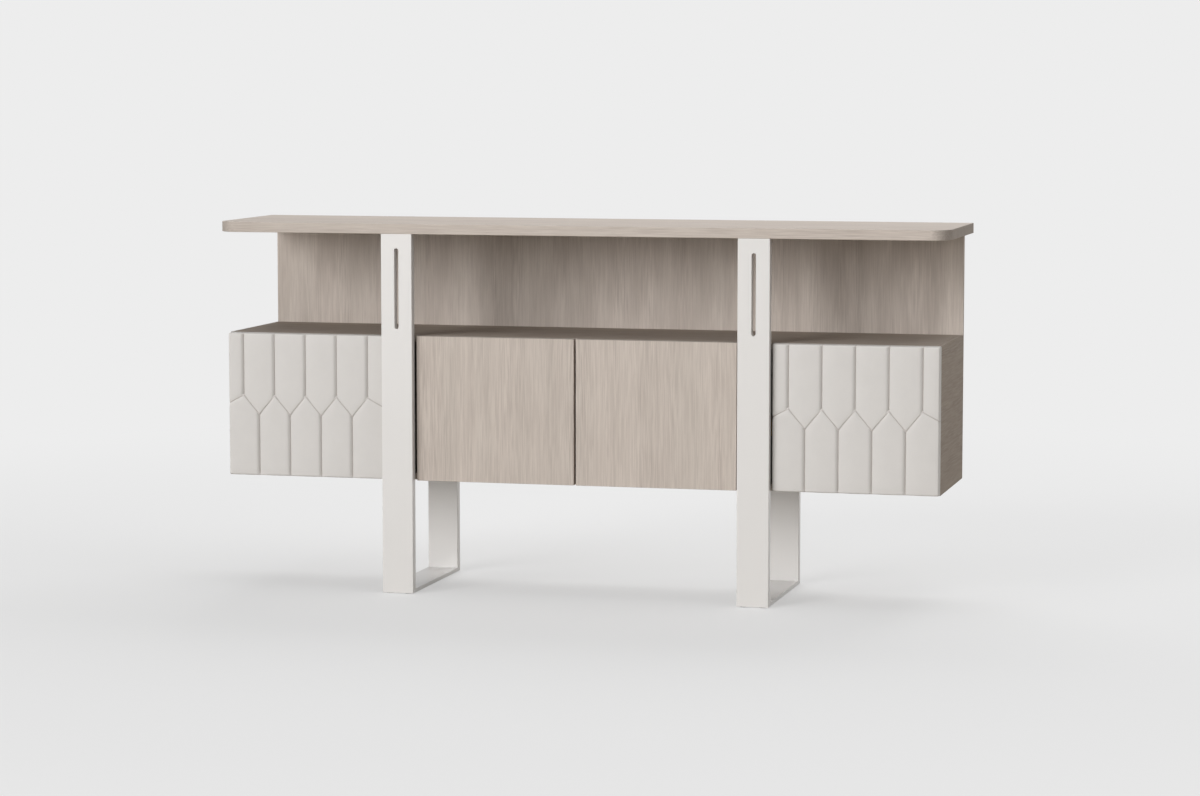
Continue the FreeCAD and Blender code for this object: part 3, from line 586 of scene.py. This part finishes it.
def sunk(across, drop, width, height, zigzag, uprights):
    """How deep the leather lies under its crown: a narrow cleft and a soft shoulder along the zigzag, the
    roll of the upright seams, a soft shoulder along the outer edge, and puckers. A pucker is a product of
    two sines, a ripple that sways and the patches that it comes in, and is strongest 4 mm from a seam."""
    edge = np.minimum(np.minimum(across, width - across), np.minimum(drop, height - drop))
    crease = crowned(zigzag, CLEFT_DEPTH, CLEFT_REACH) + crowned(zigzag, PILLOW_DEPTH, PILLOW_REACH)
    border = crowned(np.clip(edge, 0, None), BORDER_DEPTH, BORDER_REACH)
    ripple = np.sin(drop / RIPPLE + 2 * np.sin(across / SWAY))
    patches = np.sin(drop / PATCH_DROP + across / PATCH_ACROSS)
    near = np.exp(-((np.minimum(zigzag, uprights) - PUCKER_AWAY) / PUCKER_AWAY) ** 2)
    pucker = PUCKER_DEPTH * (ripple * patches) * near
    return crease + upright_sink(across, drop, height, *seam_lines(width, height)[:2]) + border + pucker


print("deepest point of the zigzag", round((CLEFT_DEPTH + PILLOW_DEPTH) / MM, 1), "mm")

# %% [markdown]
# ### Wrapping the leather round the board
# Real leather is cut larger than the board and pulled round its edges. The grid does the same: its outer
# lengths roll over a quarter circle and run straight back. Behind, the leather is turned in against the
# board, so the piece is a closed form and not a loose skin.

# %% Wrapping the grid round the board
LEATHER_WRAP = 3 * MM
BOARD_THICKNESS = 12 * MM
# How far the painted shade of a seam reaches.
SEAM_SHADE_REACH = 2.3 * MM
NO_LENGTH = 1e-9


def wrapped(across, drop, width, height, depth, wall):
    """Roll the flat lengths round the front's edges: flat inside, a quarter circle of EDGE_RADIUS along
    each edge, then straight back; every point then sinks by its depth along the surface's own
    direction."""
    centre_a = np.clip(across, EDGE_RADIUS, width - EDGE_RADIUS)
    centre_d = np.clip(drop, EDGE_RADIUS, height - EDGE_RADIUS)
    off_a, off_d = across - centre_a, drop - centre_d
    ring = np.maximum(np.abs(off_a), np.abs(off_d))
    length = np.maximum(np.hypot(off_a, off_d), NO_LENGTH)
    out_a, out_d = off_a / length, off_d / length
    angle = np.minimum(ring / EDGE_RADIUS, math.pi / 2)
    straight = np.maximum(ring - EDGE_RADIUS * math.pi / 2, 0)
    sunk_here = depth * (1 - straight / (wall - EDGE_RADIUS))
    reach = (EDGE_RADIUS - sunk_here) * np.sin(angle)
    back = EDGE_RADIUS - (EDGE_RADIUS - sunk_here) * np.cos(angle) + straight
    return centre_a + out_a * reach, back, centre_d + out_d * reach, out_a, out_d


def closed_front(width, height, wall):
    """Points and faces of one leather front: the wrapped grid, a turned edge behind it and a face on the
    board."""
    across, drop = leather_grid(width, height, wall)
    zigzag, uprights = [seam_distance(across, drop, lines) for lines in seam_lines(width, height)[2:]]
    depth = sunk(across, drop, width, height, zigzag, uprights)
    x, back, down, out_a, out_d = wrapped(across, drop, width, height, depth, wall)
    index = np.arange(x.size).reshape(x.shape)
    quads = np.stack([index[1:, :-1], index[1:, 1:], index[:-1, 1:], index[:-1, :-1]], axis=-1).reshape(-1, 4)
    loop = np.concatenate([index[-1, :-1], index[:0:-1, -1], index[0, :0:-1], index[:-1, 0]])
    grid = np.stack([x, back, down], axis=-1).reshape(-1, 3)
    inward = np.stack([out_a, 0 * out_a, out_d], axis=-1).reshape(-1, 3)[loop] * LEATHER_WRAP
    turned = grid[loop] - inward
    seat = turned - np.array([0, BOARD_THICKNESS, 0])
    middle = np.array([[width / 2, wall - BOARD_THICKNESS, height / 2]])
    points = np.vstack([grid, turned, seat, middle])
    rings = np.stack([loop, len(grid) + np.arange(len(loop)), len(grid) + len(loop) + np.arange(len(loop))])
    following = np.roll(rings, -1, axis=1)
    bands = np.stack([following[:-1], rings[:-1], rings[1:], following[1:]], axis=-1).reshape(-1, 4)
    fan = np.column_stack([following[2], rings[2], np.full(len(loop), len(points) - 1)])
    # The seam attribute is painted shade: 1 on a sewn line, none beyond 2.3 mm from it.
    seam = np.zeros(len(points))
    seam[:len(grid)] = np.clip(1 - np.minimum(zigzag, uprights).ravel() / SEAM_SHADE_REACH, 0, 1)
    return points, np.vstack([quads, bands]), fan, seam


print("points on one front:", len(closed_front(pad_width, pad_height, pad_wall)[0]))

# %% [markdown]
# ### The two fronts
# Both fronts come from one function, with the box of the plain pad in the frame as their size. Towards
# the upright the soft leather swells into most of the running gap. Each front rides on its drawer and takes
# the pad's place.

# %% The two leather fronts
INNER_BULGE = 3.5 * MM

for side in ("left", "right"):
    low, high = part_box(side + "_leather_pad")
    if side == "left":
        high.x += INNER_BULGE
    else:
        low.x -= INNER_BULGE
    width, wall, height = high.x - low.x, high.y - low.y, high.z - low.z
    flat, quads, fan, seam = closed_front(width, height, wall)
    points = np.column_stack([low.x + flat[:, 0], low.y + flat[:, 1], high.z - flat[:, 2]])
    mesh = bpy.data.meshes.new(side + "_quilted_leather")
    mesh.from_pydata(points.tolist(), [], quads.tolist() + fan.tolist())
    # The seam attribute carries the painted shade of the seams to the leather finish.
    mesh.attributes.new("seam", "FLOAT", "POINT").data.foreach_set("value", seam.astype(np.float32))
    mesh.polygons.foreach_set("use_smooth", np.ones(len(mesh.polygons), bool))
    mesh.materials.append(leather)
    front = bpy.data.objects.new(side + "_quilted_leather", mesh)
    bpy.context.scene.collection.objects.link(front)
    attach(front, side + "_drawer")
    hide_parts(side + "_leather_pad")
    print(front.name, len(mesh.polygons), "faces")

# %% [markdown]
# ## Floor and air
# The cabinet stands in a bright studio on a pale floor that keeps its shadow. A paper backdrop could do
# this, but from the side it would end somewhere. So the floor is very wide, it fades into the colour of
# the air far off, and the air is pale to the eye and to reflections while it lights the cabinet only a
# little.

# %% Floor and surroundings
AIR = "#EDEDED"
FLOOR_REACH = 40.0
FADE_START, FADE_END = 0.6, 4.5
AIR_LIGHT = 0.1


def eye_rays(tree):
    """1 for the rays that the eye follows: straight from the camera, by a reflection or through glass."""
    kinds = ("Is Camera Ray", "Is Glossy Ray", "Is Transmission Ray")
    straight, mirrored, through = [add(tree, "LightPath", out=kind) for kind in kinds]
    either = add(tree, "Math", {0: straight, 1: mirrored}, operation="MAXIMUM")
    return add(tree, "Math", {0: either, 1: through}, operation="MAXIMUM")


def floor_finish(name):
    """Matt pale floor: lighter for the eye than for the light that it throws back, and far off it fades
    into air."""
    material, tree, shader = new_finish(name)
    eye = eye_rays(tree)
    tone = add(tree, "Mix", {"Factor": eye, "A": linear("#C0B8AC"), "B": linear("#EFEFEF")}, data_type="RGBA")
    away = add(tree, "VectorMath", {0: add(tree, "TexCoord", out="Object")}, operation="LENGTH")
    far = add(tree, "MapRange", {"Value": away, "From Min": FADE_START, "From Max": FADE_END, "To Min": 0.5},
              interpolation_type="SMOOTHSTEP")
    fade = add(tree, "Math", {0: far, 1: eye}, operation="MULTIPLY")
    haze = add(tree, "Emission", {"Color": linear(AIR), "Strength": 1.0})
    mixed = add(tree, "MixShader", {"Fac": fade, 1: shader.outputs["BSDF"], 2: haze})
    shader.inputs["Roughness"].default_value = 0.8
    tree.links.new(tone, shader.inputs["Base Color"])
    tree.links.new(mixed, tree.nodes["Material Output"].inputs["Surface"])
    return material


corners = [(x * FLOOR_REACH, y * FLOOR_REACH, 0) for x, y in ((-1, -1), (1, -1), (1, 1), (-1, 1))]
sheet = bpy.data.meshes.new("studio_floor")
sheet.from_pydata(corners, [], [(0, 1, 2, 3)])
sheet.materials.append(floor_finish("pale_floor"))
floor = bpy.data.objects.new("studio_floor", sheet)
bpy.context.scene.collection.objects.link(floor)

world = bpy.data.worlds.new("studio_air")
world.use_nodes = True
bpy.context.scene.world = world
air = world.node_tree
soft = add(air, "Background", {"Color": linear("#FFFFFF"), "Strength": AIR_LIGHT})
pale = add(air, "Background", {"Color": linear(AIR), "Strength": 1.0})
sky = add(air, "MixShader", {"Fac": eye_rays(air), 1: soft, 2: pale})
air.links.new(sky, air.nodes["World Output"].inputs["Surface"])
print("floor and world ready")

# %% [markdown]
# ## Light
# Two far lamps and two softboxes light the cabinet. The low lamp in front and to the left reaches under
# the top board, so the back of the niche is bright below and dark above. The lamp on the right keeps the
# right side of the legs pale. The softbox above the fronts brightens only the front edge of the niche
# floor, and the one behind lights the top, the floor and the rear of the legs. All lights are wide,
# because wide lights make soft shadows, and their strength is set so that a colour renders about as it is
# written. A lamp that is far away lights the left and the right end alike.

# %% Lamps
SOFTBOX_WIDTH, SOFTBOX_DEPTH = 5.0, 2.4
SOFTBOX_AIM = (0, 0.1, 0.8)


def aimed_lamp(name, kind, place, target):
    """A lamp at place that faces target and doesn't show itself to the camera."""
    lamp = bpy.data.objects.new(name, bpy.data.lights.new(name, kind))
    lamp.location = place
    direction = Vector(target) - Vector(place)
    lamp.rotation_euler = direction.to_track_quat("-Z", "Y").to_euler()
    lamp.visible_camera = False
    bpy.context.scene.collection.objects.link(lamp)
    return lamp.data


# Far lamps: degrees to the right of the front, degrees above the floor, how wide they look, and strength.
for name, right, above, wide, energy in (("low_front_lamp", -31, 11, 36, 2.66),
                                         ("right_lamp", 85, 12, 70, 0.9)):
    turn, rise = math.radians(right), math.radians(above)
    place = (math.sin(turn) * math.cos(rise), -math.cos(turn) * math.cos(rise), math.sin(rise))
    far_lamp = aimed_lamp(name, "SUN", place, (0, 0, 0))
    far_lamp.energy, far_lamp.angle = energy, math.radians(wide)
for name, place, energy in (("front_softbox", (0.3, -1.4, 4.4), 48),
                            ("rear_softbox", (0.3, 3.0, 4.2), 124)):
    softbox = aimed_lamp(name, "AREA", place, SOFTBOX_AIM)
    softbox.shape = "RECTANGLE"
    softbox.size, softbox.size_y, softbox.energy = SOFTBOX_WIDTH, SOFTBOX_DEPTH, energy
bpy.context.scene.view_settings.view_transform = "Standard"
